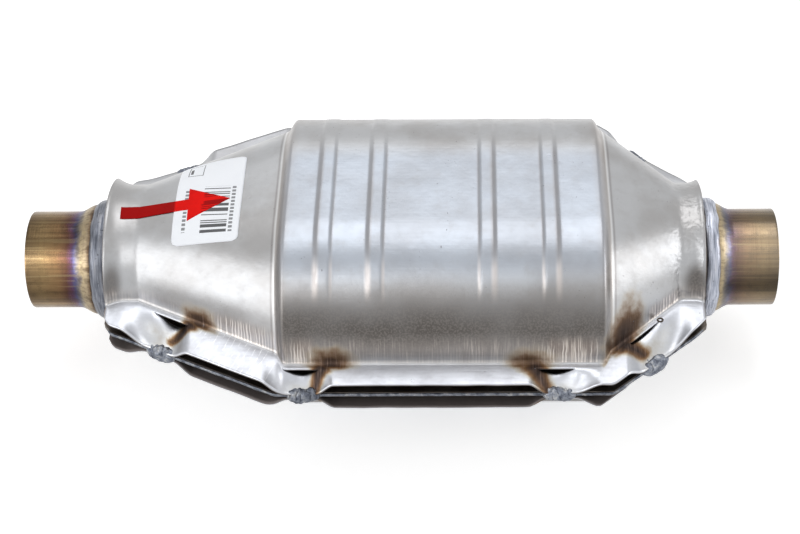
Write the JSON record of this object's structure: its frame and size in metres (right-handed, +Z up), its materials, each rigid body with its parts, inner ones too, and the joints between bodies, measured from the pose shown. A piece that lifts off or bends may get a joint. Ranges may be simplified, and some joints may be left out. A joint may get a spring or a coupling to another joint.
{
  "type": "catalytic converter",
  "caption": "Oval clamshell catalytic converter with welded-on pressed heat shields and a belled round pipe stub at each end.",
  "frame": {"origin": "centre of the inlet pipe's mouth", "axes": "+X along both pipes from inlet to outlet, +Y to the rear, +Z up; the two halves part on Z = 0"},
  "size_m": [0.3671, 0.1844, 0.1072],
  "materials": {
    "shield_steel": "bright pressed stainless sheet with drawing marks and heat tints",
    "can_steel": "darker pressed stainless sheet",
    "pipe_steel": "straw and blue heat-tinted stainless tube",
    "weld_metal": "rough grey weld bead",
    "ceramic": "matt coated cordierite honeycomb",
    "mat_fibre": "ceramic fibre and vermiculite mat",
    "label_film": "white label with plain bars",
    "arrow_film": "red arrow"
  },
  "bodies": {
    "root": {"upper_heat_shield": "shield_steel", "lower_heat_shield": "shield_steel", "upper_can_half": "can_steel", "lower_can_half": "can_steel", "inlet_pipe": "pipe_steel", "outlet_pipe": "pipe_steel", "inlet_ring_weld": "weld_metal", "outlet_ring_weld": "weld_metal", "front_seam_weld": "weld_metal", "rear_seam_weld": "weld_metal", "inlet_brick": "ceramic", "outlet_brick": "ceramic", "inlet_mat": "mat_fibre", "outlet_mat": "mat_fibre", "label": "label_film", "flow_arrow": "arrow_film", "front_tack_weld_1": "weld_metal", "front_tack_weld_2": "weld_metal", "front_tack_weld_3": "weld_metal", "front_tack_weld_4": "weld_metal", "rear_tack_weld_1": "weld_metal", "rear_tack_weld_2": "weld_metal", "rear_tack_weld_3": "weld_metal", "rear_tack_weld_4": "weld_metal"}
  },
  "joints": []
}
